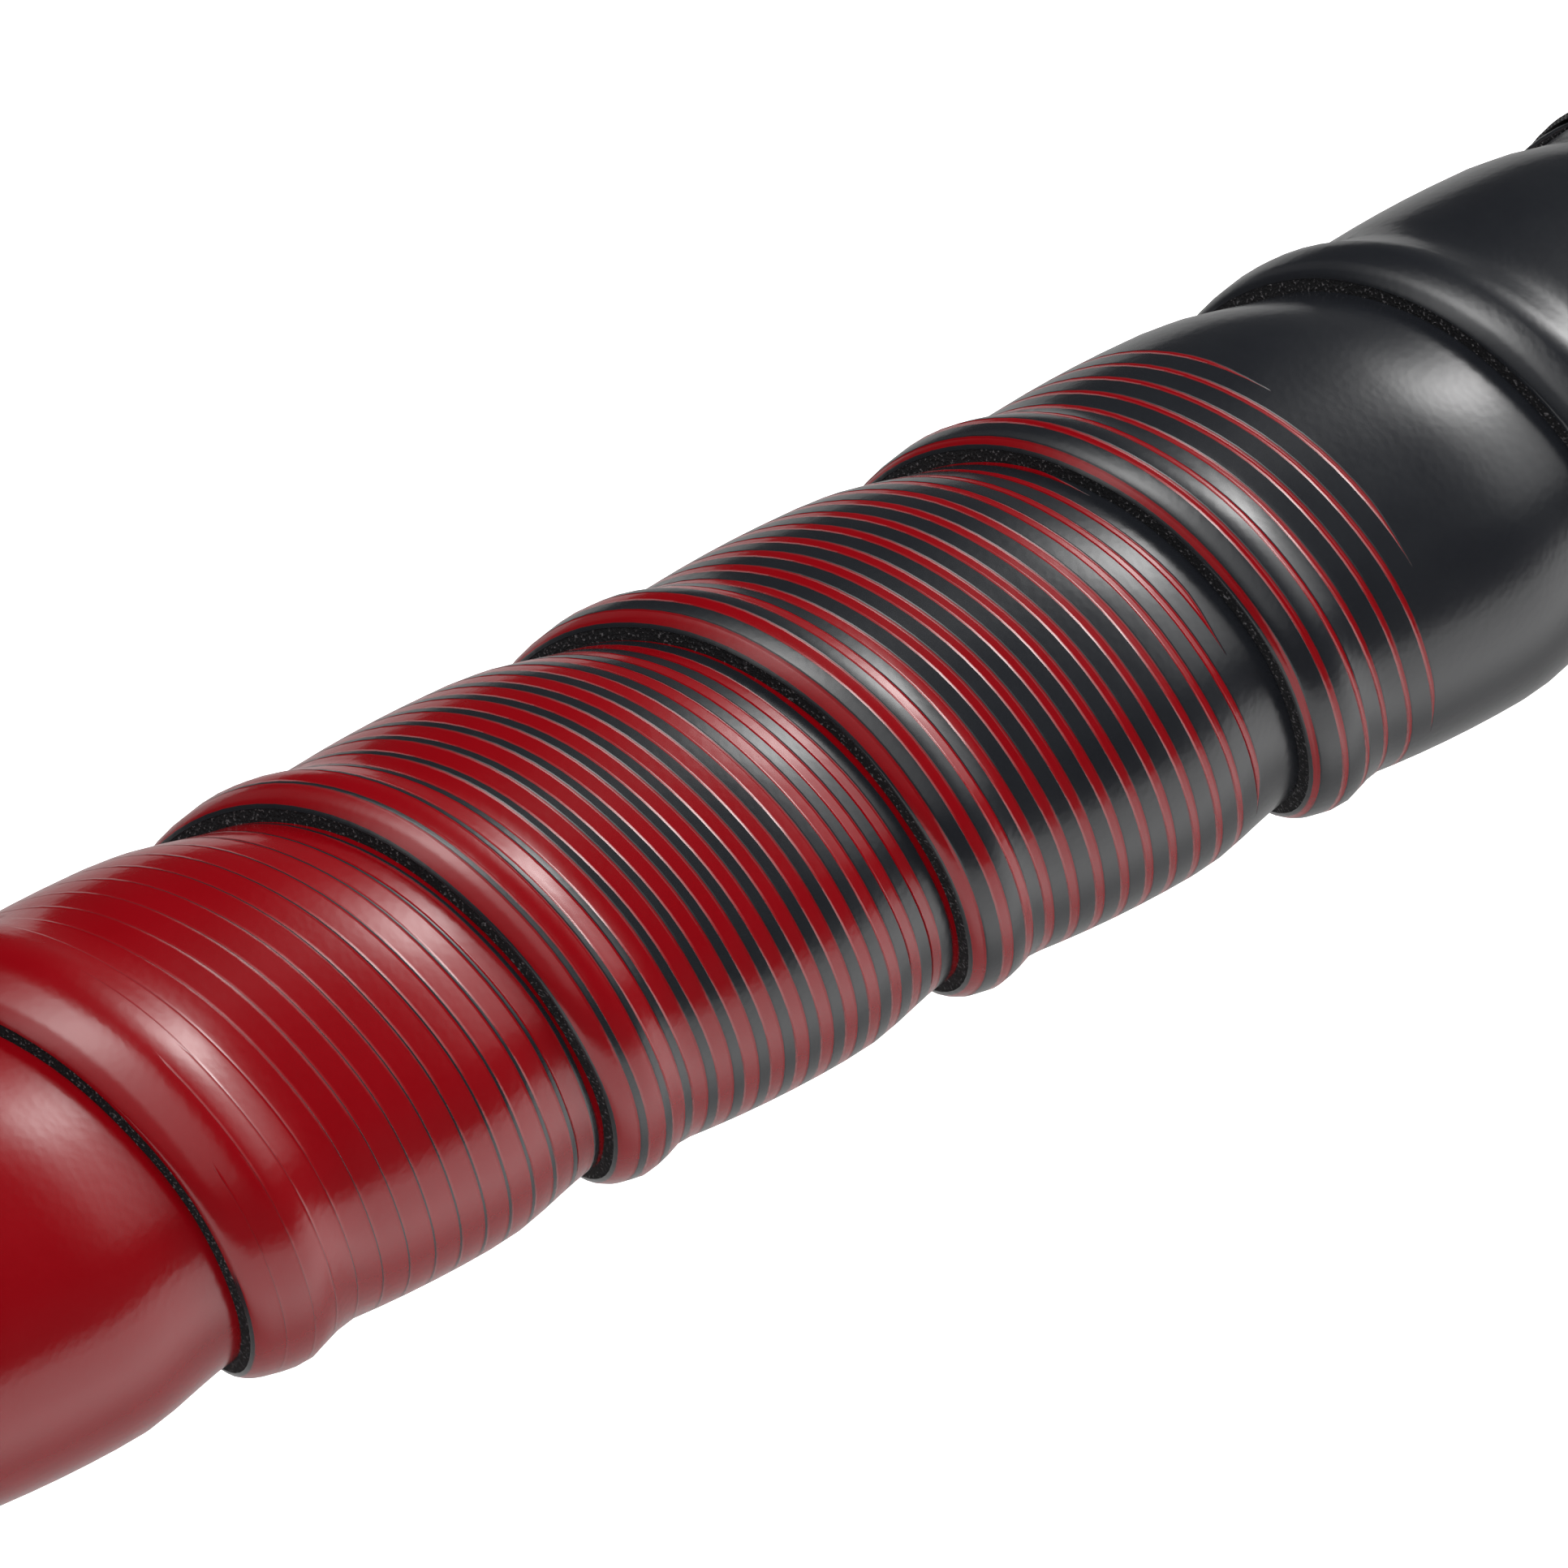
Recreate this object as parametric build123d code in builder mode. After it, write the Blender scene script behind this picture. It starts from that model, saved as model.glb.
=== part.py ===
from build123d import *
from math import radians, tan
import os

# Drop handlebar, 48 cm wide, wrapped in bar tape and closed by an expander plug at each end.
# X runs across the bicycle with the rider's left at +X, -Y points forwards and Z points up.
# The origin is the centre of the stem clamp zone, on the axis of the tops.

# Centreline of one side, from the stem clamp out to the open end of the drop
half_width = 240.0
top_bend_radius = 42.0
ramp_length = 5.0
hook_radius = 38.0
drop = 130.0
drop_straight = 45.0

# Aluminium tube
grip_diameter = 23.8
tube_wall = 1.6
clamp_diameter = 31.8
clamp_wall = 2.2
clamp_length = 46.0
taper_length = 10.0
taper_round = 6.0

# Bar tape and the finishing tape that closes its inner end
tape_start = 36.0
tape_thickness = 2.75
tape_fold = 1.0
tape_end_round = 0.8
finishing_width = 16.0
finishing_thickness = 0.3
finishing_onto_bar = 2.6
soft_gap = 0.1

# Expander plug: cap with its fixed cone
flange_inset = 0.55
flange_thickness = 3.5
flange_round = 1.6
spigot_length = 5.0
spigot_clearance = 0.3
shoe_end_wall = 2.0
cone_length = 8.5
cone_angle = 20.0
key_width = 1.4
key_clearance = 0.7
key_end_gap = 1.0
key_root = 0.5
face_groove_inner_diameter = 16.0
face_groove_outer_diameter = 20.0
face_groove_depth = 0.8

# Expander plug: trim ring, screw, washer and cone nut
trim_stands_proud = 0.2
trim_clearance = 0.05
screw_diameter = 5.0
screw_length = 32.0
screw_head_diameter = 8.5
screw_head_height = 2.7
socket_across_flats = 4.0
socket_depth = 1.8
screw_hole_clearance = 0.2
head_clearance = 0.75
head_recess = 0.2
washer_diameter = 9.4
washer_thickness = 1.0
nut_collar = 1.5
thread_clearance = 0.05
flat_gap = 0.05

# Expander plug: three shoes and the ring that holds them together
shoe_count = 3
shoe_length = 20.5
shoe_clearance = 0.1
shoe_seat_clearance = 0.05
shoe_end_gap = 1.0
shoe_slot = 2.6
ring_section = 1.44
ring_clearance = 0.08
ring_groove_side_gap = 0.18
ring_depth = 0.08

# Worked out from the sizes above
grip_radius = grip_diameter / 2
bore_radius = grip_radius - tube_wall
clamp_radius = clamp_diameter / 2
tape_inner_radius = grip_radius + soft_gap
tape_radius = tape_inner_radius + tape_thickness
lower_radius = drop - hook_radius
reach = top_bend_radius + ramp_length + hook_radius
end_y = drop_straight + lower_radius - reach
taper_end = clamp_length / 2 + taper_length

flange_radius = tape_radius - flange_inset
flange_seat = tape_fold + soft_gap + flat_gap
cap_face = flange_seat + flange_thickness
head_pocket_depth = head_recess + screw_head_height + washer_thickness + 2 * flat_gap
pocket_floor = cap_face - head_pocket_depth
washer_top = pocket_floor + flat_gap + washer_thickness
head_seat = washer_top + flat_gap

cone_slope = tan(radians(cone_angle))
cone_radius = bore_radius - shoe_end_wall
key_radius = bore_radius - key_clearance
cone_tip_radius = cone_radius - cone_length * cone_slope
cap_cone_start = -spigot_length
shoe_start = cap_cone_start - shoe_end_gap
shoe_end = shoe_start - shoe_length
shoe_middle = (shoe_start + shoe_end) / 2
nut_cone_start = shoe_end - shoe_end_gap
shoe_radius = bore_radius - shoe_clearance
shoe_bore_radius = cone_tip_radius + shoe_seat_clearance
shoe_mouth_radius = cone_radius - shoe_end_gap * cone_slope + shoe_seat_clearance
ring_outer_radius = shoe_radius - ring_depth
ring_centre_radius = ring_outer_radius - ring_section / 2
groove_floor_radius = ring_outer_radius - ring_section - ring_clearance
groove_half_width = ring_section / 2 + ring_groove_side_gap


def side_path(side, start):
    """Centreline of one side: tops, bend forwards, ramp, hook, lower hook and straight drop."""
    across = side * half_width
    with BuildLine() as path:
        tops = Line((side * start, 0, 0), (side * (half_width - top_bend_radius), 0, 0))
        bend = TangentArc(tops @ 1, (across, -top_bend_radius, 0), tangent=tops % 1)
        ramp = Line(bend @ 1, (across, hook_radius - reach, 0))
        hook = TangentArc(ramp @ 1, (across, -reach, -hook_radius), tangent=ramp % 1)
        lower = TangentArc(hook @ 1, (across, lower_radius - reach, -drop), tangent=hook % 1)
        Line(lower @ 1, (across, end_y, -drop))
    return path.wire()


def end_plane(side, out=0.0):
    """Plane across a bar end, facing outwards, `out` beyond the end of the tube."""
    return Plane(origin=(side * half_width, end_y + out, -drop), x_dir=(1, 0, 0), z_dir=(0, 1, 0))


def profile_plane(side):
    """Plane through a bar end's axis: local x is the radius and local y points outwards."""
    return Plane(origin=(side * half_width, end_y, -drop))


def end_axis(side):
    return Axis((side * half_width, end_y, -drop), (0, 1, 0))


def outline_face(plane, outline):
    """Flat face inside the closed outline of points on the plane."""
    with BuildSketch(plane) as profile:
        with BuildLine():
            Polyline(*outline, close=True)
        make_face()
    return profile.sketch


def key_faces(side, out):
    """End faces of the keys that run in the slots between the shoes."""
    inner = screw_diameter / 2 + screw_hole_clearance + key_root
    length = key_radius - inner
    with BuildSketch(end_plane(side, out)) as profile:
        with PolarLocations(inner + length / 2, shoe_count, start_angle=180 / shoe_count):
            Rectangle(length, key_width)
    return profile.sketch


def write(body, name):
    body.part.label = name
    export_step(body.part, f"parts/{name}.step")


def tape(side):
    """Bar tape as the round sleeve that its turns make, folded over the end of the tube."""
    path = side_path(side, tape_start)
    with BuildPart() as body:
        with BuildSketch(Plane(origin=path @ 0, z_dir=path % 0)):
            Circle(tape_radius)
            Circle(tape_inner_radius, mode=Mode.SUBTRACT)
        sweep(path=path)
        with BuildSketch(end_plane(side)):
            Circle(tape_radius)
            Circle(tape_inner_radius, mode=Mode.SUBTRACT)
        extrude(amount=soft_gap)
        with BuildSketch(end_plane(side, soft_gap)):
            Circle(tape_radius)
            Circle(bore_radius, mode=Mode.SUBTRACT)
        extrude(amount=tape_fold)
        outer_rim = body.edges().group_by(Axis.Y)[-1].sort_by(SortBy.RADIUS)[-1]
        fillet(outer_rim, radius=tape_end_round)
    return body


def finishing_tape(side):
    """Thin band that closes the inner end of the bar tape and runs down onto the bare tube."""
    over = tape_radius + soft_gap
    under = tape_inner_radius
    step = tape_start - soft_gap
    wall = finishing_thickness
    with BuildPart() as body:
        with BuildSketch(Plane.XY):
            with BuildLine():
                Polyline(
                    (side * (tape_start - finishing_onto_bar), under),
                    (side * step, under),
                    (side * step, over),
                    (side * (tape_start - finishing_onto_bar + finishing_width), over),
                    (side * (tape_start - finishing_onto_bar + finishing_width), over + wall),
                    (side * (step - wall), over + wall),
                    (side * (step - wall), under + wall),
                    (side * (tape_start - finishing_onto_bar), under + wall),
                    close=True,
                )
            make_face()
        revolve(axis=Axis.X)
    return body


def plug_cap(side):
    """Cap of the plug: flange, spigot and fixed cone in one piece, bored for the screw."""
    hole = screw_diameter / 2 + screw_hole_clearance
    pocket = screw_head_diameter / 2 + head_clearance
    spigot = bore_radius - spigot_clearance
    outline = [
        (hole, cap_cone_start - cone_length),
        (cone_tip_radius, cap_cone_start - cone_length),
        (cone_radius, cap_cone_start),
        (spigot, cap_cone_start),
        (spigot, flange_seat),
        (flange_radius, flange_seat),
        (flange_radius, cap_face),
        (pocket, cap_face),
        (pocket, pocket_floor),
        (hole, pocket_floor),
    ]
    with BuildPart() as body:
        revolve(outline_face(profile_plane(side), outline), axis=end_axis(side))
        face_rim = body.edges().group_by(Axis.Y)[-1].sort_by(SortBy.RADIUS)[-1]
        fillet(face_rim, radius=flange_round)
        extrude(key_faces(side, cap_cone_start), amount=key_end_gap - cone_length)
        with BuildSketch(end_plane(side, cap_face)):
            Circle(face_groove_outer_diameter / 2)
            Circle(face_groove_inner_diameter / 2, mode=Mode.SUBTRACT)
        extrude(amount=-face_groove_depth, mode=Mode.SUBTRACT)
    return body


def plug_trim(side):
    """Bright ring pressed into the groove in the face of the cap."""
    with BuildPart() as body:
        with BuildSketch(end_plane(side, cap_face - face_groove_depth + flat_gap)):
            Circle(face_groove_outer_diameter / 2 - trim_clearance)
            Circle(face_groove_inner_diameter / 2 + trim_clearance, mode=Mode.SUBTRACT)
        extrude(amount=face_groove_depth - flat_gap + trim_stands_proud)
        outer_face_edges = body.edges().group_by(Axis.Y)[-1]
        chamfer(outer_face_edges, length=trim_stands_proud / 2)
    return body


def plug_washer(side):
    """Flat washer under the head of the screw."""
    with BuildPart() as body:
        with BuildSketch(end_plane(side, pocket_floor + flat_gap)):
            Circle(washer_diameter / 2)
            Circle(screw_diameter / 2 + screw_hole_clearance, mode=Mode.SUBTRACT)
        extrude(amount=washer_thickness)
    return body


def plug_screw(side):
    """Low-headed socket screw that draws the cone nut towards the cap."""
    with BuildPart() as body:
        with BuildSketch(end_plane(side, head_seat)):
            Circle(screw_diameter / 2)
        extrude(amount=-screw_length)
        tip = body.edges().group_by(Axis.Y)[0]
        chamfer(tip, length=screw_diameter / 10)
        with BuildSketch(end_plane(side, head_seat)):
            Circle(screw_head_diameter / 2)
        extrude(amount=screw_head_height)
        head_rim = body.edges().group_by(Axis.Y)[-1]
        fillet(head_rim, radius=screw_head_height / 6)
        with BuildSketch(end_plane(side, head_seat + screw_head_height)):
            RegularPolygon(socket_across_flats / 2, 6, major_radius=False)
        extrude(amount=-socket_depth, mode=Mode.SUBTRACT)
    return body


def cone_nut(side):
    """Threaded cone that spreads the shoes, kept from turning by its keys."""
    bore = screw_diameter / 2 + thread_clearance
    outline = [
        (bore, nut_cone_start + cone_length),
        (cone_tip_radius, nut_cone_start + cone_length),
        (cone_radius, nut_cone_start),
        (cone_radius, nut_cone_start - nut_collar),
        (bore, nut_cone_start - nut_collar),
    ]
    with BuildPart() as body:
        revolve(outline_face(profile_plane(side), outline), axis=end_axis(side))
        extrude(key_faces(side, nut_cone_start - nut_collar), amount=nut_collar + cone_length - key_end_gap)
    return body


def shoe(side, number):
    """One of the shoes: a sector of a sleeve with a conical seat at each end and a groove round it."""
    outline = [
        (shoe_mouth_radius, shoe_start),
        (shoe_radius, shoe_start),
        (shoe_radius, shoe_middle + groove_half_width),
        (groove_floor_radius, shoe_middle + groove_half_width),
        (groove_floor_radius, shoe_middle - groove_half_width),
        (shoe_radius, shoe_middle - groove_half_width),
        (shoe_radius, shoe_end),
        (shoe_mouth_radius, shoe_end),
        (shoe_bore_radius, nut_cone_start + cone_length),
        (shoe_bore_radius, cap_cone_start - cone_length),
    ]
    sector = 360 / shoe_count
    first_edge = profile_plane(side).rotated((0, (number - 0.5) * sector, 0))
    with BuildPart() as body:
        revolve(outline_face(first_edge, outline), axis=end_axis(side), revolution_arc=sector)
        with BuildSketch(end_plane(side, shoe_start)):
            with PolarLocations(shoe_radius, shoe_count, start_angle=180 / shoe_count):
                Rectangle(2 * shoe_radius, shoe_slot)
        extrude(amount=-shoe_length, mode=Mode.SUBTRACT)
    return body


def shoe_ring(side):
    """Rubber ring in the groove of the shoes."""
    with BuildPart() as body:
        with BuildSketch(profile_plane(side)):
            with Locations((ring_centre_radius, shoe_middle)):
                Circle(ring_section / 2)
        revolve(axis=end_axis(side))
    return body


def handlebar():
    """Hollow aluminium tube: a widened centre for the stem and a bent grip on each side."""
    join = taper_end + taper_length
    clamp_half = clamp_length / 2
    clamp_bore = clamp_radius - clamp_wall
    with BuildPart() as body:
        with BuildSketch(Plane.XY):
            with BuildLine():
                outside = FilletPolyline(
                    (-join, grip_radius),
                    (-taper_end, grip_radius),
                    (-clamp_half, clamp_radius),
                    (clamp_half, clamp_radius),
                    (taper_end, grip_radius),
                    (join, grip_radius),
                    radius=taper_round,
                )
                inside = Polyline(
                    (join, bore_radius),
                    (taper_end, bore_radius),
                    (clamp_half, clamp_bore),
                    (-clamp_half, clamp_bore),
                    (-taper_end, bore_radius),
                    (-join, bore_radius),
                )
                Line(outside @ 1, inside @ 0)
                Line(inside @ 1, outside @ 0)
            make_face()
        revolve(axis=Axis.X)
        for side in (1, -1):
            path = side_path(side, join)
            with BuildSketch(Plane(origin=path @ 0, z_dir=path % 0)):
                Circle(grip_radius)
                Circle(bore_radius, mode=Mode.SUBTRACT)
            sweep(path=path)
    return body


os.makedirs("parts", exist_ok=True)
write(handlebar(), "handlebar")
for side, name in ((1, "left"), (-1, "right")):
    write(tape(side), f"{name}_bar_tape")
    write(finishing_tape(side), f"{name}_finishing_tape")
    write(plug_cap(side), f"{name}_plug_cap")
    write(plug_trim(side), f"{name}_plug_trim")
    write(plug_washer(side), f"{name}_plug_washer")
    write(plug_screw(side), f"{name}_plug_screw")
    write(cone_nut(side), f"{name}_cone_nut")
    write(shoe_ring(side), f"{name}_shoe_ring")
    for number in range(shoe_count):
        write(shoe(side, number), f"{name}_shoe_{number + 1}")
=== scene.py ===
from math import cos, pi, radians, sin

import bpy
import numpy as np
from mathutils import Matrix, Vector


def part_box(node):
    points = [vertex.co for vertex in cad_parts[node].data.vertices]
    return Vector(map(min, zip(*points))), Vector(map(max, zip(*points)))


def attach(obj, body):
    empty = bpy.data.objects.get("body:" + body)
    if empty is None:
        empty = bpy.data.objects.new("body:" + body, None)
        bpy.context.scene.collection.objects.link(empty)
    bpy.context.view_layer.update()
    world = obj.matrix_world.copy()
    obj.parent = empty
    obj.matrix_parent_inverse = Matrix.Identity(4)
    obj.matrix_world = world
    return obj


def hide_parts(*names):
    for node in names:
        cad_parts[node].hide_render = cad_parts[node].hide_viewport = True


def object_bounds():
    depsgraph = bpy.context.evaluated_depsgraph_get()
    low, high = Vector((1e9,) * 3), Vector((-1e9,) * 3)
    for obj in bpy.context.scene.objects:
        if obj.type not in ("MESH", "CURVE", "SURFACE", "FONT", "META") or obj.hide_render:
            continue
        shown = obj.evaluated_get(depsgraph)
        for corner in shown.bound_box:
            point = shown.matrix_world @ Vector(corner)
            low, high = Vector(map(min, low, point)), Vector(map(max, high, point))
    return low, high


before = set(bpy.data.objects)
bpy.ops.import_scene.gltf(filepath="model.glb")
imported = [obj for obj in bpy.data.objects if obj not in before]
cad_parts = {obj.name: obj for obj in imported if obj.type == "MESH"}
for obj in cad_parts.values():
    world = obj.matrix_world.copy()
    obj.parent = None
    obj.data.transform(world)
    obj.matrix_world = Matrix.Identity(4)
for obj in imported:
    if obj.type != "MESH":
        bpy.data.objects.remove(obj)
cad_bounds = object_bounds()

# Camera: a long lens close over the rider's left hand grip, above and behind the tops.
# It looks down and forwards, along the bar from the bar end's side towards the stem.
look_back = Vector((0.5225, 0.6054, 0.6004)).normalized()
look_right = Vector((-0.757, 0.6534, 0.0)).normalized()
look_up = look_back.cross(look_right).normalized()
look_right = look_up.cross(look_back).normalized()
look_at = Vector((0.120, -0.00066, 0.00067))
camera_distance = 0.885
camera_data = bpy.data.cameras.new("studio_camera")
camera_data.sensor_width = 36.0
camera_data.lens = 351.0
camera_data.clip_start = 0.05
camera_data.clip_end = 60.0
camera = bpy.data.objects.new("studio_camera", camera_data)
bpy.context.collection.objects.link(camera)
camera_turn = Matrix((look_right, look_up, look_back)).transposed().to_4x4()
camera.matrix_world = Matrix.Translation(look_at + camera_distance * look_back) @ camera_turn
bpy.context.scene.camera = camera


# Studio: one very large softbox over the bar, brighter towards the stem end, in a dark room.
# The light comes from far away, so that the floor is evenly lit all round the bar.
class Socket:
    """A socket of a node, so that maths on it is written as an expression."""

    def __init__(self, finish, output):
        self.finish = finish
        self.output = output

    def maths(self, operation, *others):
        return self.finish.node("ShaderNodeMath", dict(operation=operation), (self, *others))

    def __add__(self, other):
        return self.maths("ADD", other)

    def __radd__(self, other):
        return self.maths("ADD", other)

    def __sub__(self, other):
        return self.maths("SUBTRACT", other)

    def __rsub__(self, other):
        return self.finish.node("ShaderNodeMath", dict(operation="SUBTRACT"), (other, self))

    def __mul__(self, other):
        return self.maths("MULTIPLY", other)

    def __rmul__(self, other):
        return self.maths("MULTIPLY", other)

    def __truediv__(self, other):
        return self.maths("DIVIDE", other)

    def floor(self):
        return self.maths("FLOOR")

    def abs(self):
        return self.maths("ABSOLUTE")

    def sine(self):
        return self.maths("SINE")

    def atan2(self, other):
        return self.maths("ARCTAN2", other)

    def larger(self, other):
        return self.maths("MAXIMUM", other)

    def rise(self, low, high):
        """0 below low, 1 above high, smooth between them; a falling step where low is above high."""
        flip = low > high
        low, high = min(low, high), max(low, high)
        settings = dict(data_type="FLOAT", interpolation_type="SMOOTHSTEP")
        values = {"Value": self, "From Min": low, "From Max": high}
        stepped = self.finish.node("ShaderNodeMapRange", settings, values)
        return 1 - stepped if flip else stepped


class Finish:
    """Node tree of a material or of the world, with one method that adds any node."""

    def __init__(self, tree):
        self.tree = tree

    def feed(self, socket, value):
        if isinstance(value, Socket):
            self.tree.links.new(value.output, socket)
        elif isinstance(value, tuple) and len(value) < len(socket.default_value):
            socket.default_value = (*value, 1.0)
        else:
            socket.default_value = value

    def node(self, kind, settings=None, values=(), output=0):
        made = self.tree.nodes.new(kind)
        for name, setting in (settings or {}).items():
            setattr(made, name, setting)
        for name, value in values.items() if isinstance(values, dict) else enumerate(values):
            self.feed(made.inputs[name], value)
        return Socket(self, made.outputs[output])

    def noise(self, place, scale, detail):
        return self.node("ShaderNodeTexNoise", None, {"Vector": place, "Scale": scale, "Detail": detail})

    def bump(self, height, distance, strength=1.0):
        """Normal of a surface that the height raises by up to the distance, in metres."""
        values = {"Strength": strength, "Distance": distance, "Height": height}
        return self.node("ShaderNodeBump", None, values)

    def curve(self, value, span, peak, stops):
        """Value read off a line through the stops, given as (value, result) pairs."""
        drawn = self.node("ShaderNodeFloatCurve", None, {"Value": value / span})
        mapping = drawn.output.node.mapping
        while len(mapping.curves[0].points) < len(stops):
            mapping.curves[0].points.new(0.5, 0.5)
        for point, (place, result) in zip(mapping.curves[0].points, stops):
            point.location = (place / span, result / peak)
            point.handle_type = "VECTOR"
        mapping.update()
        return drawn * peak

    def split(self, vector):
        made = self.tree.nodes.new("ShaderNodeSeparateXYZ")
        self.feed(made.inputs[0], vector)
        return [Socket(self, axis) for axis in made.outputs]

    def mix(self, share, first, second):
        """Colour between the first (at share 0) and the second (at share 1)."""
        made = self.tree.nodes.new("ShaderNodeMix")
        made.data_type = "RGBA"
        self.feed(made.inputs[0], share)
        self.feed(made.inputs[6], first)
        self.feed(made.inputs[7], second)
        return Socket(self, made.outputs[2])


world = bpy.data.worlds.new("studio")
bpy.context.scene.world = world
world.use_nodes = True
bpy.context.scene.view_settings.view_transform = "Standard"
studio = Finish(world.node_tree)
across, forwards_back, upwards = studio.split(studio.node("ShaderNodeTexCoord"))
height_angle = upwards.atan2(forwards_back) * (180 / pi)
box_light = studio.curve(height_angle, 180.0, 4.0, (
    (0, 0.05), (5, 0.05), (9, 0.22), (20, 0.35), (45, 0.6), (60, 0.9), (70, 1.6), (80, 2.6),
    (90, 2.7), (100, 1.8), (110, 0.9), (120, 0.4), (130, 0.14), (145, 0.05), (180, 0.04),
))
sideways = studio.curve(across + 1.0, 2.0, 7.0, (
    (0, 6.2), (0.12, 6.0), (0.22, 4.1), (0.33, 1.2), (0.46, 0.22), (0.60, 0.08), (0.70, 0.12),
    (0.76, 3.0), (0.86, 4.2), (1.05, 4.0), (1.2, 1.2), (2, 0.8),
))
room_glow = 0.03
studio.feed(world.node_tree.nodes["Background"].inputs["Strength"], box_light * sideways + room_glow)
world.node_tree.nodes["Background"].inputs["Color"].default_value = (1.0, 0.995, 0.985, 1.0)

# Paper floor: the laps of the lower turns rest just on it. Polished surfaces see it only near the bar:
# further off it shows black to glossy rays alone, a painted dark reflection in place of a dark table.
laps_below = 0.0042
floor_level = cad_bounds[0][2] - laps_below
bpy.ops.object.select_all(action="DESELECT")
bpy.ops.mesh.primitive_plane_add(size=80.0, location=(0, 0, floor_level))
floor = bpy.context.object
floor.name = "studio_floor"
bpy.ops.object.transform_apply(location=True, rotation=True, scale=True)
floor_material = bpy.data.materials.new("floor_paper")
floor_material.use_nodes = True
paper = Finish(floor_material.node_tree)
paper_shader = floor_material.node_tree.nodes["Principled BSDF"].inputs
paper_shader["Base Color"].default_value = (0.82, 0.82, 0.82, 1.0)
paper_shader["Roughness"].default_value = 0.9
paper_shader["Specular IOR Level"].default_value = 0.1
paper_shader["Emission Color"].default_value = (1.0, 1.0, 1.0, 1.0)
paper_shader["Emission Strength"].default_value = 0.4
path_kind = floor_material.node_tree.nodes.new("ShaderNodeLightPath")
mirrored = Socket(paper, path_kind.outputs["Is Glossy Ray"])
floor_place = paper.split(paper.node("ShaderNodeTexCoord", output=3))
# Painted dark reflection: the share of black that glossy rays see, full beyond y = 0.42 m and three quarters
# below y = 0.03 m.
painted_dark_reflection_share = floor_place[1].rise(0.24, 0.42) + 0.75 * floor_place[1].rise(0.13, 0.03)
paper_output = floor_material.node_tree.nodes["Material Output"]
# Black diffuse that only glossy rays see: the painted dark reflection.
black = paper.node("ShaderNodeBsdfDiffuse", None, {"Color": (0.02, 0.02, 0.02)})
lit = Socket(paper, floor_material.node_tree.nodes["Principled BSDF"].outputs[0])
seen = paper.node("ShaderNodeMixShader", None, (mirrored * painted_dark_reflection_share, lit, black))
paper.feed(paper_output.inputs["Surface"], seen)
floor.data.materials.append(floor_material)


# Handlebar: a bent aluminium tube, bead-blasted and anodised black, bare only in the middle.
# The stem's clamp grips the widened centre, where fine turned grooves show under the anodising.
def new_finish(name, colour, roughness, metallic=0.0, **constants):
    """New material with a plain shader, ready for its pattern: material, shader inputs, nodes."""
    material = bpy.data.materials.new(name)
    material.use_nodes = True
    shader = material.node_tree.nodes["Principled BSDF"].inputs
    shader["Base Color"].default_value = (*colour, 1.0)
    shader["Roughness"].default_value = roughness
    shader["Metallic"].default_value = metallic
    for socket, value in constants.items():
        shader[socket.replace("_", " ")].default_value = value
    return material, shader, Finish(material.node_tree)


def dress(node, material):
    """The CAD node's surface gets the material in all its slots."""
    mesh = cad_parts[node].data
    if not mesh.materials:
        mesh.materials.append(material)
    for index in range(len(mesh.materials)):
        mesh.materials[index] = material


anodised, shader, finish = new_finish(
    "black_anodised", (0.012, 0.012, 0.013), 0.42, IOR=1.5, Specular_IOR_Level=0.25
)
object_place = finish.node("ShaderNodeTexCoord", output=3)
blast = finish.noise(object_place, 3200.0, 3.0)
cloud = finish.noise(object_place, 60.0, 4.0)
scuffs = finish.node(
    "ShaderNodeTexNoise", None, {"Vector": object_place, "Scale": 420.0, "Detail": 6.0, "Roughness": 0.7}
)
scuffed = scuffs.rise(0.62, 0.74)
finish.feed(shader["Base Color"], finish.mix(scuffed * 0.5, (0.012, 0.012, 0.013), (0.045, 0.045, 0.047)))
finish.feed(shader["Roughness"], 0.36 + cloud * 0.14 - scuffed * 0.08)
along = finish.split(object_place)[0]
grooved_half = 0.0229
turned_grooves = (along * 2600.0).sine() * along.abs().rise(grooved_half + 0.0003, grooved_half - 0.0003)
finish.feed(shader["Normal"], finish.bump(blast * 0.6 + turned_grooves * 0.35, 0.00006, 0.5))
dress("handlebar", anodised)


# Bar tape: a long strip of soft foam with a thin synthetic leather skin, red fading to black in
# stripes. It is wound on from each bar end, every turn lapping the one before it, and tucked in
# under the end plug. Sizes here are in millimetres, on the left side; the right is its mirror image.
tube_low, tube_high = (1000 * np.array(corner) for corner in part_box("handlebar"))
tube_radius = 11.9
half_width = tube_high[0] - tube_radius
reach = -tube_low[1] - tube_radius
drop = -tube_low[2] - tube_radius
end_y = tube_high[1]
hook_radius = 38.0
lower_radius = drop - hook_radius
bend_radius = 42.0
wrap_stop = 1000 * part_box("left_bar_tape")[0][0]

lane_radius = 13.4  # radius at which the strip keeps its own width as it goes round a bend
strip_width = 30.0
edge_thickness, middle_thickness = 1.68, 3.0
edge_bevel, bevel_width = 0.55, 1.3  # the starting edge is shaved this much thinner, over this width
skin_thickness = 0.38
air = 0.03  # gap between turns that lie on each other
turn_rings = 72  # rings of the mesh in one turn
stripe_pitch, stripes_a_turn = 1.87, 14.2
lap_press, under_press = 0.33, 0.15  # share of the foam's thickness lost under and over a lap
lap_slope = 3.4  # width in which the outer turn drops from the hidden far edge of the turn below
two_layers, foam_give = 3.9, 0.45  # past this height only this share of a layer shows


def smooth(value, low, high):
    """0 below low, 1 above high, smooth between them."""
    share = np.clip((np.asarray(value, float) - low) / (high - low), 0, 1)
    return share * share * (3 - 2 * share)


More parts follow.
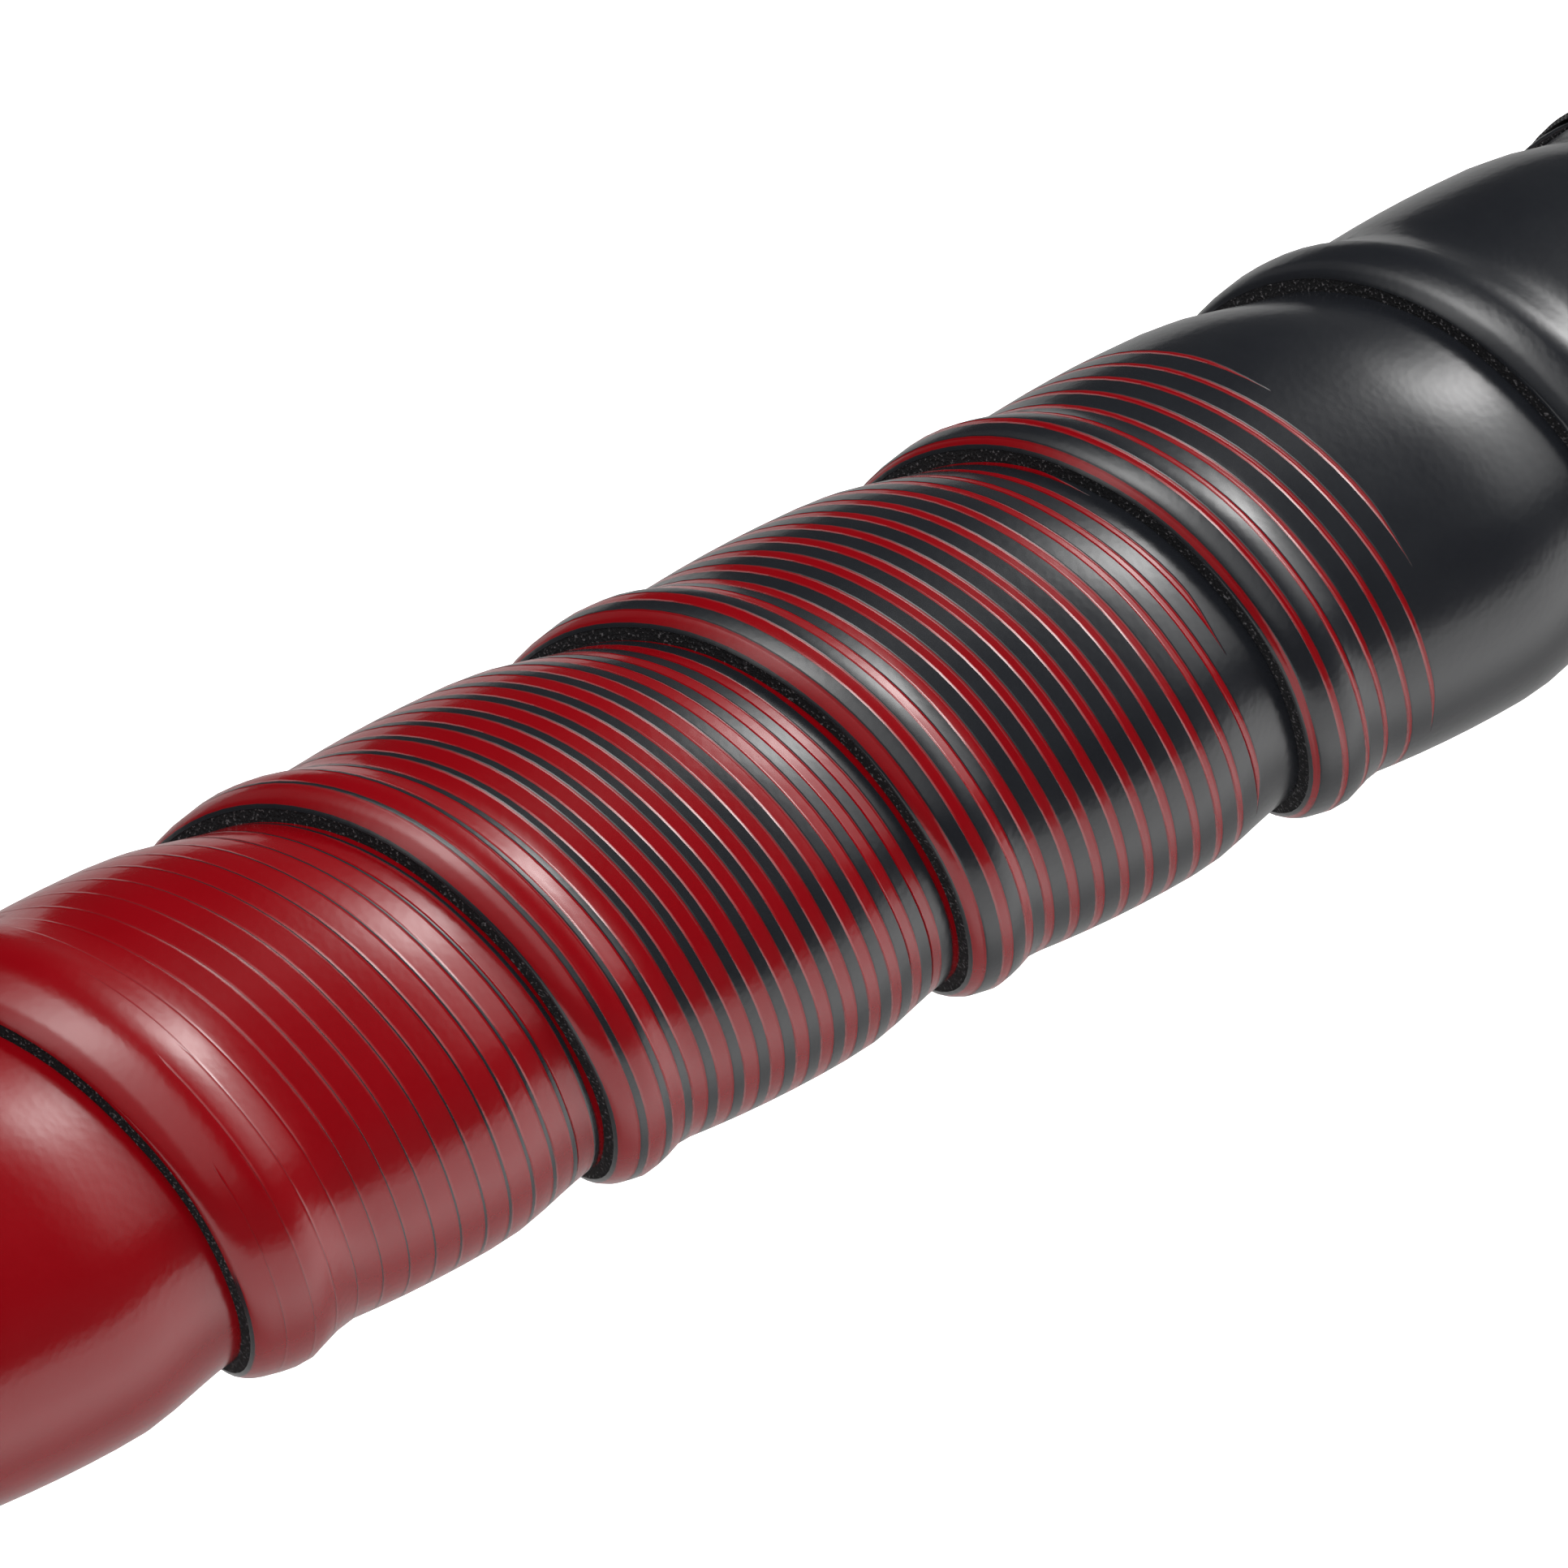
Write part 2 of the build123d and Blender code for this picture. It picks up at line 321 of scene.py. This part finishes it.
def centreline():
    """Points, tangents and curvature along one side, from the bar end to the tape's inner end."""
    back, up, inwards = np.array((0, 1, 0)), np.array((0, 0, 1)), np.array((-1, 0, 0))
    runs = [
        (end_y + reach - lower_radius, 0, -back),
        (lower_radius * pi / 2, lower_radius, up),
        (hook_radius * pi / 2, hook_radius, back),
        (reach - hook_radius - bend_radius, 0, back),
        (bend_radius * pi / 2, bend_radius, inwards),
        (half_width - bend_radius - wrap_stop, 0, inwards),
    ]
    point_step, extra_step, before_end, after_end = 0.1, 0.5, 12, 40
    here, heading, travelled = np.array((half_width, end_y, -drop)), -back.astype(float), 0.0
    places, points, headings, curves = [], [], [], []
    for length, radius, towards in runs:
        count = max(2, int(length / point_step))
        gone = np.arange(count)[:, None] * length / count
        places.append(travelled + gone[:, 0])
        if radius:
            angle = gone / radius
            sideways_gone = radius * (1 - np.cos(angle)) * towards
            points.append(here + radius * np.sin(angle) * heading + sideways_gone)
            headings.append(np.cos(angle) * heading + np.sin(angle) * towards)
            curves.append((np.cos(angle) * towards - np.sin(angle) * heading) / radius)
            here, heading = here + radius * (heading + towards), towards.astype(float)
        else:
            points.append(here + gone * heading)
            headings.append(np.ones((count, 1)) * heading)
            curves.append(np.zeros((count, 3)))
            here = here + length * heading
        travelled += length
    before, after = np.arange(-before_end, 0, extra_step), np.arange(0, after_end, extra_step)
    first, first_heading = points[0][0], headings[0][0]
    headings = [np.tile(first_heading, (len(before), 1)), *headings, np.tile(heading, (len(after), 1))]
    return (
        np.concatenate([before, *places, travelled + after]),
        np.concatenate([first + before[:, None] * first_heading, *points, here + after[:, None] * heading]),
        np.concatenate(headings),
        np.concatenate([np.zeros((len(before), 3)), *curves, np.zeros((len(after), 3))]),
        travelled,
    )


path_s, path_point, path_heading, path_curve, path_length = centreline()
# A direction across the bar that never twists round it, carried down from the tops to the bar end.
stripe_side = (0, 0.710, 0.704)
ahead = np.zeros_like(path_point)
ahead[-1] = stripe_side
for i in range(len(path_s) - 2, -1, -1):
    direction = ahead[i + 1] - np.dot(ahead[i + 1], path_heading[i]) * path_heading[i]
    ahead[i] = direction / np.linalg.norm(direction)
beside = np.cross(path_heading, ahead)
bend_ahead = np.sum(path_curve * ahead, axis=1)
bend_beside = np.sum(path_curve * beside, axis=1)
steps = np.diff(path_s)
turn_ahead = np.concatenate([[0], np.cumsum(steps * (bend_ahead[1:] + bend_ahead[:-1]) / 2)])
turn_beside = np.concatenate([[0], np.cumsum(steps * (bend_beside[1:] + bend_beside[:-1]) / 2)])


def pitch_at(s):
    """Distance along the bar from one turn of the tape to the next."""
    lower_start = end_y + reach - lower_radius
    hook_start = lower_start + lower_radius * pi / 2
    hook_end = hook_start + hook_radius * pi / 2
    bend_end = path_length - (half_width - bend_radius - wrap_stop)
    places = (lower_start, hook_start - 20, hook_start + 15, hook_end, bend_end, bend_end + 25, path_length)
    pitch = np.interp(s, places, (25.0, 24.5, 21.5, 21.5, 22.5, 26.9, 26.1))
    return max(pitch * float(smooth(s, -3.6, 12)), 0.02)


# The edge that starts the stripes crosses the top of the bar here, and the turns are counted from it.
stripe_start_x = 176.4
stripe_start = path_length - (stripe_start_x - wrap_stop)
small = 1.0 / turn_rings
first_edge, last_edge = -3.0, path_length - 1.2
ahead_turns = [stripe_start]
while ahead_turns[-1] < last_edge:
    s = ahead_turns[-1]
    middle = s + pitch_at(s) * small / 2
    ahead_turns.append(s + pitch_at(middle) * small)
behind_turns = [stripe_start]
while behind_turns[-1] > first_edge:
    s = behind_turns[-1]
    middle = s - pitch_at(s) * small / 2
    behind_turns.append(s - pitch_at(middle) * small)
behind_turns += [behind_turns[-1]] * int(0.5 * turn_rings)
edge_s = np.array(behind_turns[:0:-1] + ahead_turns)
turn = (np.arange(len(edge_s)) - (len(behind_turns) - 1)) * small
rings = len(edge_s)
hand_wander = ((0.10, 0.37, 1.0), (0.07, 1.31, 2.2), (0.045, 3.7, 0.4), (0.03, 8.3, 5.0))
wander = sum(size * np.sin(2 * pi * turn * rate + start) for size, rate, start in hand_wander)
edge_s = edge_s + wander * smooth(edge_s, 2, 20)
phase = 2 * pi * turn


def lanes(ring):
    """Distance along the surface of the bar on one ring's line, for each place on the centreline."""
    return path_s - lane_radius * (cos(phase[ring]) * turn_ahead + sin(phase[ring]) * turn_beside)


edge_lane = np.array([np.interp(edge_s[i], path_s, lanes(i)) for i in range(rings)])
stop_lane = np.array([np.interp(path_length, path_s, lanes(i)) for i in range(rings)])
# The strip's first end is cut off slanting, over a little more than one turn.
point_width, slant_turns = 5.0, 1.3
slant = np.clip(np.arange(rings) / (slant_turns * turn_rings), 0, 1)
cut_width = point_width + (strip_width - point_width) * slant
room = np.minimum(cut_width, stop_lane - edge_lane)
padding = 3 * turn_rings
far_away = edge_lane[-1] + 500
lane_of = np.concatenate([np.full(padding, edge_lane[0]), edge_lane, np.full(padding, far_away)])
starting = smooth(np.arange(padding), padding - 6, padding)
lead_in = np.concatenate([starting, np.ones(rings), np.zeros(padding)])
cut_of = np.concatenate([np.full(padding, cut_width[0]), cut_width, np.full(padding, strip_width)])


def layer(ring, across_strip):
    """Thickness of the tape at each ring's point across the strip, pressed in where turns lap."""
    here = lane_of[ring + padding][:, None]
    before = lane_of[ring + padding - turn_rings][:, None]
    after = lane_of[np.minimum(ring + padding + turn_rings, len(lane_of) - 1)][:, None]
    offset = 2 * across_strip / strip_width - 1
    arch = np.clip(1 - offset**2, 0, 1) ** 0.9
    thick = edge_thickness + (middle_thickness - edge_thickness) * arch
    to_before, to_after = here - before, after - here
    low = 1 - smooth(across_strip, strip_width - to_before, strip_width - to_before + 2.0)
    high = smooth(across_strip, to_after - 8.0, to_after + 0.5)
    high = high * (1 - 0.6 * smooth(across_strip, to_after + 0.5, to_after + 4))
    pressed = 1 - np.maximum(under_press * low, lap_press * high)
    thick = thick - edge_bevel * np.clip(1 - across_strip / bevel_width, 0, 1) ** 2
    cut = cut_of[ring + padding][:, None]
    past = np.clip((across_strip - cut + 0.8) / lap_slope, 0, 1)
    fall = (1 - past**2) ** 2
    present = (across_strip >= -1e-6) * lead_in[ring + padding][:, None]
    return (thick * pressed + air) * fall * present


def stack(ring, across_strip, turns):
    """Thickness of the given turns before (or after) each ring, at points across its strip."""
    total = np.zeros_like(across_strip)
    for back in turns:
        other = np.clip(ring - back * turn_rings, -padding + turn_rings, rings + padding - turn_rings - 1)
        away = lane_of[ring + padding][:, None] - lane_of[other + padding][:, None]
        total += layer(other, across_strip + away)
    return total


def settle(height):
    """Outer radius that a stack of layers comes to: foam gives where more than two layers lie together."""
    extra = np.maximum(height - two_layers, 0)
    return tube_radius + air + np.minimum(height, two_layers) + extra * foam_give


def wind(profile):
    """Closed strip wound along the bar: profile gives each column's place across, level and inset."""
    under_band = 2.72  # height the tape is pulled down to under the finishing tape
    fold_length, fold_round, tucked_radius = 3.3, 0.3, 10.4
    columns = len(profile)
    ring = np.arange(rings)
    share, level, inset = (np.array(values) for values in zip(*profile))
    across_strip = (share / strip_width)[None, :] * room[:, None]
    cover = stack(ring, across_strip, (1, 2, 3))
    own = layer(ring, across_strip)
    total = cover + own + stack(ring, across_strip, (-1, -2))
    points = np.zeros((rings, columns, 3))
    for i in range(rings):
        place = np.interp(edge_lane[i] + across_strip[i], lanes(i), path_s)
        ends = smooth(place, path_length - 17, path_length - 13)
        closed = 1 + ends * (under_band / np.maximum(total[i], 0.5) - 1)
        outer = settle((cover[i] + own[i] - air) * closed)
        inner = settle(cover[i] * closed)
        radius = np.minimum(outer, outer * level + inner * (1 - level)) - inset
        centre, first, second = (
            np.stack([np.interp(place, path_s, values[:, k]) for k in range(3)], axis=1)
            for values in (path_point, ahead, beside)
        )
        out = cos(phase[i]) * first + sin(phase[i]) * second
        # Past the bar end the strip rounds the corner and folds in towards the bore.
        past = np.clip(-place, 0, None) / fold_length
        height_share = np.clip((radius - 12.0) / 2.75, 0, 1)
        side = np.clip(past / fold_round, 0, 1)
        inwards = np.clip((past - fold_round) / (1 - fold_round), 0, 1)
        lip_radius = radius * (1 - inwards) + tucked_radius * inwards
        rounding = 1 - np.sqrt(np.clip(1 - side**2, 0, 1))
        lip_radius = lip_radius - 0.7 * height_share * (1 - inwards) * rounding
        lip = np.array((half_width, end_y, -drop)) + out * lip_radius[:, None]
        corner = 0.06 + 0.98 * height_share
        lip = lip + np.array((0, 1, 0)) * (corner * np.sin(side * pi / 2))[:, None]
        points[i] = np.where((place < 0)[:, None], lip, centre + out * radius[:, None])
    return points, np.stack([across_strip, np.repeat(turn[:, None], columns, axis=1)], axis=-1)


def strip_mesh(name, points, strip, side):
    """Mesh object from rings of points, mirrored for the right side, with the strip's own coordinates."""
    count, columns = points.shape[:2]
    vertices = points.reshape(-1, 3) * 0.001
    vertices[:, 0] *= side
    i, j = np.meshgrid(np.arange(count - 1), np.arange(columns), indexing="ij")
    k = (j + 1) % columns
    corners = [i * columns + j, i * columns + k, (i + 1) * columns + k, (i + 1) * columns + j]
    faces = np.stack(corners, axis=-1).reshape(-1, 4)
    start, stop = list(range(columns))[::-1], [(count - 1) * columns + c for c in range(columns)]
    if side < 0:
        faces, start, stop = faces[:, ::-1], start[::-1], stop[::-1]
    mesh = bpy.data.meshes.new(name)
    mesh.from_pydata(vertices.tolist(), [], faces.tolist() + [start, stop])
    strip_layer = mesh.uv_layers.new(name="strip")
    loops = np.zeros(len(mesh.loops), dtype=np.int32)
    mesh.loops.foreach_get("vertex_index", loops)
    strip_layer.data.foreach_set("uv", strip.reshape(-1, 2)[loops].astype(np.float32).ravel())
    mesh.validate()
    made = bpy.data.objects.new(name, mesh)
    bpy.context.collection.objects.link(made)
    bpy.ops.object.select_all(action="DESELECT")
    bpy.context.view_layer.objects.active = made
    made.select_set(True)
    bpy.ops.object.shade_smooth_by_angle(angle=radians(50))
    return made


# Columns across the skin: its top, its rounded rims and its back, as (place across, level, inset).
rim = skin_thickness / 2
tops = (
    0.42, 0.65, 0.9, 1.2, 1.8, 2.5, 3.4, 4.3, 5.3, 6.5, 8, 10, 12, 14, 16, 18, 20, 22,
    23.6, 24.8, 25.7, 26.4, 27.1, 28, 29.3,
)
skin_profile = [(rim, 1, 0.0)] + [(a, 1, 0.0) for a in tops] + [(strip_width - rim, 1, 0.0)]
skin_profile += [(strip_width - 0.05, 1, rim * 0.4), (strip_width, 1, rim)]
skin_profile += [(strip_width - 0.05, 1, rim * 1.6), (strip_width - rim, 1, skin_thickness)]
skin_profile += [(a, 1, skin_thickness) for a in tops[::-3]]
skin_profile += [(rim, 1, skin_thickness), (0.05, 1, rim * 1.6), (0.0, 1, rim), (0.05, 1, rim * 0.4)]

# Columns across the foam: its top lies under the skin, and its cut edge stands out a little beyond.
foam_tops = (1.2, 2.5, 4.3, 6.5, 10, 14, 18, 22, 24.8, 26.4, 28, 29.3)
under_skin = skin_thickness + 0.01
foam_profile = [(0.30, 1, under_skin)] + [(a, 1, under_skin) for a in foam_tops]
foam_profile += [(strip_width - 0.3, 1, under_skin)]
foam_profile += [(strip_width - 0.15, 0.5, 0.0), (strip_width - 0.3, 0, -0.01)]
foam_profile += [(a, 0, -0.01) for a in foam_tops[::-2]]
foam_profile += [(0.12, 0, -0.01), (-0.04, 0.15, 0.0), (-0.12, 0.4, 0.0)]
foam_profile += [(-0.10, 0.62, 0.0), (0.02, 0.8, 0.0)]

leather, shader, finish = new_finish(
    "striped_leather", (0.3, 0.003, 0.012), 0.27, IOR=1.5, Specular_IOR_Level=0.3
)
ground_node = leather.node_tree.nodes.new("ShaderNodeBsdfPrincipled")
ground = ground_node.inputs
ground["IOR"].default_value = 1.5
ground["Specular IOR Level"].default_value = 0.33
strip_place = finish.node("ShaderNodeUVMap", dict(uv_map="strip"))
across_tape, turns_on, _ = finish.split(strip_place)
line = across_tape / stripe_pitch
line_number = line.floor()
within = line - line_number
bar_turns = turns_on + line_number / stripes_a_turn
# The dark lines widen turn by turn. In the last turns each red stripe ends in a point, one after another.
dark_share = finish.curve(bar_turns, 4.0, 1.0, (
    (0.0, 0.0), (0.25, 0.0), (0.45, 0.03), (0.7, 0.07), (1.0, 0.17), (1.2, 0.28), (1.5, 0.40),
    (2.0, 0.51), (2.5, 0.61), (3.0, 0.71), (3.3, 0.77), (3.6, 0.83), (4.0, 0.86),
))
stripe_end = turns_on + line_number * 0.143
dark_share = dark_share + (1 - dark_share) * stripe_end.rise(3.85, 3.91)
red_half = (1 - dark_share) / 2 - (within - (1 - dark_share) / 2).abs()
red_ink = red_half.rise(-0.012, 0.02) * across_tape.rise(0.11, 0.14)
all_red = bar_turns.rise(0.12, 0.10)
raised = red_half.rise(-0.06, 0.10).larger(all_red)
all_dark = stripe_end.rise(3.905, 3.91).larger(bar_turns.rise(3.70, 3.72))
red_ink = (red_ink * (1 - all_dark)).larger(all_red)
object_place = finish.node("ShaderNodeTexCoord", output=3)
mottle = finish.noise(object_place, 240.0, 5.0)
fine = finish.noise(object_place, 2400.0, 3.0)
grain = finish.node("ShaderNodeTexVoronoi", dict(feature="SMOOTH_F1"), {
    "Vector": object_place, "Scale": 1700.0, "Smoothness": 0.4
})
red_dye = finish.mix(mottle, (0.122, 0.0003, 0.0017), (0.141, 0.0004, 0.0025))
black_dye = finish.mix(mottle, (0.0055, 0.006, 0.008), (0.009, 0.010, 0.012))
finish.feed(shader["Base Color"], red_dye)
finish.feed(ground["Base Color"], black_dye)
gloss = 0.12 + mottle * 0.05 + fine * 0.04
finish.feed(shader["Roughness"], gloss)
finish.feed(ground["Roughness"], gloss + 0.05)
relief = raised * (1 - all_dark) * (0.35 + 0.65 * bar_turns.rise(0.4, 1.6))
grain_bump = finish.node("ShaderNodeBump", None, {
    "Strength": 0.15, "Distance": 0.00004, "Height": grain + fine * 0.5, "Normal": finish.bump(relief, 0.00008)
})
finish.feed(shader["Normal"], grain_bump)
finish.feed(ground["Normal"], grain_bump)
inked = Socket(finish, leather.node_tree.nodes["Principled BSDF"].outputs[0])
both = finish.node("ShaderNodeMixShader", None, (red_ink, Socket(finish, ground_node.outputs[0]), inked))
finish.feed(leather.node_tree.nodes["Material Output"].inputs["Surface"], both)

foam, shader, finish = new_finish("cut_foam", (0.006, 0.006, 0.006), 0.95, Specular_IOR_Level=0.2)
object_place = finish.node("ShaderNodeTexCoord", output=3)
cells = finish.noise(object_place, 5200.0, 4.0)
flecks = cells.rise(0.56, 0.70)
finish.feed(shader["Base Color"], finish.mix(flecks, (0.005, 0.005, 0.006), (0.10, 0.095, 0.10)))
finish.feed(shader["Normal"], finish.bump(cells, 0.0003))

skin_points, skin_strip = wind(skin_profile)
foam_points, foam_strip = wind(foam_profile)
for name, side in (("left", 1), ("right", -1)):
    skin_piece = strip_mesh(f"{name}_tape_skin", skin_points, skin_strip, side)
    foam_piece = strip_mesh(f"{name}_tape_foam", foam_points, foam_strip, side)
    skin_piece.data.materials.append(leather)
    foam_piece.data.materials.append(foam)
    for piece in (skin_piece, foam_piece):
        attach(piece, "bar")
    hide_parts(f"{name}_bar_tape")


# Finishing tape: a thin woven adhesive band, wound a little over twice round the cut end of the bar tape.
# It is pulled tight, so that its inner edge lies down on the bare tube.
band_low, band_high = (1000 * np.array(corner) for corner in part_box("left_finishing_tape"))
band_turns, band_wall, band_pitch = 2.35, 0.13, 0.145  # pitch is how much each turn adds to the radius
band_turn_rings = 96
band_places = np.concatenate([
    band_low[0] + np.array((0, 0.5, 0.9, 1.2, 1.5, 1.8, 2.1, 2.4, 2.7, 3.1, 3.6, 4.4)),
    np.linspace(band_low[0] + 6, band_high[0], 8),
])
wound = (np.arange(int(band_turns * band_turn_rings) + 1) / band_turn_rings)[:, None]
place_x = np.concatenate([band_places, band_places[::-1]])
on_top = np.concatenate([np.ones(len(band_places)), np.zeros(len(band_places))])
tilt = 0.35 * np.sin(2 * pi * wound * 0.43 + 0.6) + 0.08 * np.sin(2 * pi * wound * 1.7)
band_x = place_x[None, :] + tilt
step_up = smooth(place_x, wrap_stop - 1.7, wrap_stop + 0.1)[None, :]
pucker = 0.05 * np.sin(2 * pi * wound * 13) * step_up * (1 - step_up) * 4
on_tube, on_tape = tube_radius + 0.08, 14.76
base_radius = on_tube + (on_tape - tube_radius - 0.08) * step_up + pucker
band_radius = base_radius + band_pitch * wound + band_wall * on_top[None, :]
band_angle = 2 * pi * wound + 2.3
band_points = np.stack([band_x, -band_radius * np.cos(band_angle), band_radius * np.sin(band_angle)], axis=-1)
turn_length = 93  # one turn of the band, in the strip's own coordinates
band_strip = np.stack([
    np.broadcast_to(place_x, band_x.shape), np.broadcast_to(wound * turn_length, band_x.shape)
], axis=-1)

woven, shader, finish = new_finish(
    "woven_band", (0.012, 0.012, 0.013), 0.62, Sheen_Weight=0.25, Sheen_Roughness=0.4
)
yarn_pitch = 0.42
strip_place = finish.node("ShaderNodeUVMap", dict(uv_map="strip"))
warp_at, weft_at, _ = finish.split(strip_place)
weave = (warp_at * (2 * pi / yarn_pitch)).sine() * (weft_at * (2 * pi / yarn_pitch)).sine()
object_place = finish.node("ShaderNodeTexCoord", output=3)
lint = finish.noise(object_place, 900.0, 5.0)
worn = weave * 0.35 + lint * 0.6
finish.feed(shader["Base Color"], finish.mix(worn, (0.006, 0.006, 0.007), (0.022, 0.022, 0.024)))
finish.feed(shader["Roughness"], 0.52 + lint * 0.2)
finish.feed(shader["Normal"], finish.bump(weave + lint * 0.6, 0.00008, 0.7))
for name, side in (("left", 1), ("right", -1)):
    band = strip_mesh(f"{name}_finishing_band", band_points, band_strip, side)
    band.data.materials.append(woven)
    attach(band, "bar")
    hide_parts(f"{name}_finishing_tape")


# End plugs: a moulded plastic cap with a wide flange closes each end of the bar. Its face and flange
# have the fine texture of a spark-eroded mould, a little polished on the rim.
plug_centre = (half_width / 1000, -drop / 1000)


def end_coordinates(finish):
    """Object coordinates, distance from the bar end's axis, angle round it and place along it."""
    object_place = finish.node("ShaderNodeTexCoord", output=3)
    x, y, z = finish.split(object_place)
    aside = x.abs() - plug_centre[0]
    above = z - plug_centre[1]
    distance = (aside * aside + above * above).maths("SQRT")
    return object_place, distance, above.atan2(aside), y


moulded, shader, finish = new_finish("moulded_plastic", (0.014, 0.014, 0.015), 0.46, IOR=1.49)
object_place, distance, angle, depth = end_coordinates(finish)
spark = finish.noise(object_place, 2600.0, 4.0)
handled = finish.noise(object_place, 130.0, 4.0)
polished = distance.rise(0.0128, 0.0140)
finish.feed(shader["Base Color"], finish.mix(handled, (0.010, 0.010, 0.011), (0.020, 0.020, 0.022)))
finish.feed(shader["Roughness"], 0.46 + handled * 0.12 - polished * 0.12)
finish.feed(shader["Normal"], finish.bump(spark * (1 - polished * 0.5), 0.00005, 0.6))


# Trim rings: turned from aluminium and anodised red. Each is pressed into the groove in the face of
# its cap, where fine marks of the turning tool run round it.
red_anodised, shader, finish = new_finish("red_anodised", (0.52, 0.012, 0.022), 0.26, 1.0)
object_place, distance, angle, depth = end_coordinates(finish)
tool_marks = (distance * 70000.0).sine()
haze = finish.noise(object_place, 500.0, 5.0)
finish.feed(shader["Base Color"], finish.mix(haze, (0.50, 0.011, 0.020), (0.56, 0.015, 0.026)))
finish.feed(shader["Roughness"], 0.24 + haze * 0.08)
finish.feed(shader["Normal"], finish.bump(tool_marks + haze * 0.5, 0.000006, 0.2))


# Washers and screws: zinc-plated steel. The screw goes through the cap into the nut; it has a rolled
# thread and a knurled rim round its low head.
zinc, shader, finish = new_finish("zinc_plated", (0.56, 0.57, 0.60), 0.3, 1.0)
object_place, distance, angle, depth = end_coordinates(finish)
bloom = finish.noise(object_place, 700.0, 5.0)
finish.feed(shader["Base Color"], finish.mix(bloom, (0.50, 0.51, 0.53), (0.64, 0.65, 0.67)))
finish.feed(shader["Roughness"], 0.24 + bloom * 0.16)
thread_pitch, knurls = 0.0008, 44.0
shank = distance.rise(0.00262, 0.00258)
pitch_turns = depth / thread_pitch + angle / (2 * pi)
crest = (pitch_turns - pitch_turns.floor() - 0.5).abs() * 2
head_rim = distance.rise(0.00405, 0.00415) * distance.rise(0.0044, 0.0043)
knurl = (angle * knurls).sine() * head_rim
finish.feed(shader["Normal"], finish.bump(crest * shank * 5.0 + knurl * 1.6 + bloom * 0.15, 0.00007))


# Cone nuts: turned aluminium, bored and tapped for the screw, with three keys left standing that
# slide between the shoes.
turned_aluminium, shader, finish = new_finish("turned_aluminium", (0.70, 0.70, 0.72), 0.3, 1.0)
object_place, distance, angle, depth = end_coordinates(finish)
lathe = ((depth + distance) * 42000.0).sine()
dulled = finish.noise(object_place, 400.0, 5.0)
finish.feed(shader["Base Color"], finish.mix(dulled, (0.62, 0.62, 0.64), (0.78, 0.78, 0.80)))
finish.feed(shader["Roughness"], 0.26 + dulled * 0.18)
finish.feed(shader["Normal"], finish.bump(lathe + dulled * 0.4, 0.000015, 0.5))


# Shoes: moulded of glass-filled nylon, three round each plug, pushed out against the bore by the
# cones. Short fibres show as fine grey flecks under a dull skin.
nylon, shader, finish = new_finish("filled_nylon", (0.030, 0.030, 0.033), 0.55, IOR=1.53)
object_place, distance, angle, depth = end_coordinates(finish)
fibres = finish.node(
    "ShaderNodeTexNoise", None, {"Vector": object_place, "Scale": 1500.0, "Detail": 6.0, "Distortion": 2.0}
)
streaks = fibres.rise(0.56, 0.66)
finish.feed(shader["Base Color"], finish.mix(streaks, (0.024, 0.024, 0.027), (0.075, 0.075, 0.080)))
finish.feed(shader["Roughness"], 0.50 + fibres * 0.2)
finish.feed(shader["Normal"], finish.bump(fibres, 0.00004, 0.5))


# Shoe rings: a moulded rubber ring lies in the shoes' groove and holds them together round the
# cones. It is dull and a little dusty.
rubber, shader, finish = new_finish("ring_rubber_finish", (0.012, 0.012, 0.012), 0.5, IOR=1.52)
object_place, distance, angle, depth = end_coordinates(finish)
dust = finish.noise(object_place, 1100.0, 5.0)
dusty = dust.rise(0.5, 0.75)
finish.feed(shader["Base Color"], finish.mix(dusty, (0.010, 0.010, 0.010), (0.040, 0.039, 0.037)))
finish.feed(shader["Roughness"], 0.42 + dust * 0.25)
finish.feed(shader["Normal"], finish.bump(dust, 0.00003, 0.4))

for side in ("left", "right"):
    dress(f"{side}_plug_cap", moulded)
    dress(f"{side}_plug_trim", red_anodised)
    dress(f"{side}_plug_washer", zinc)
    dress(f"{side}_plug_screw", zinc)
    dress(f"{side}_cone_nut", turned_aluminium)
    dress(f"{side}_shoe_ring", rubber)
    for number in (1, 2, 3):
        dress(f"{side}_shoe_{number}", nylon)
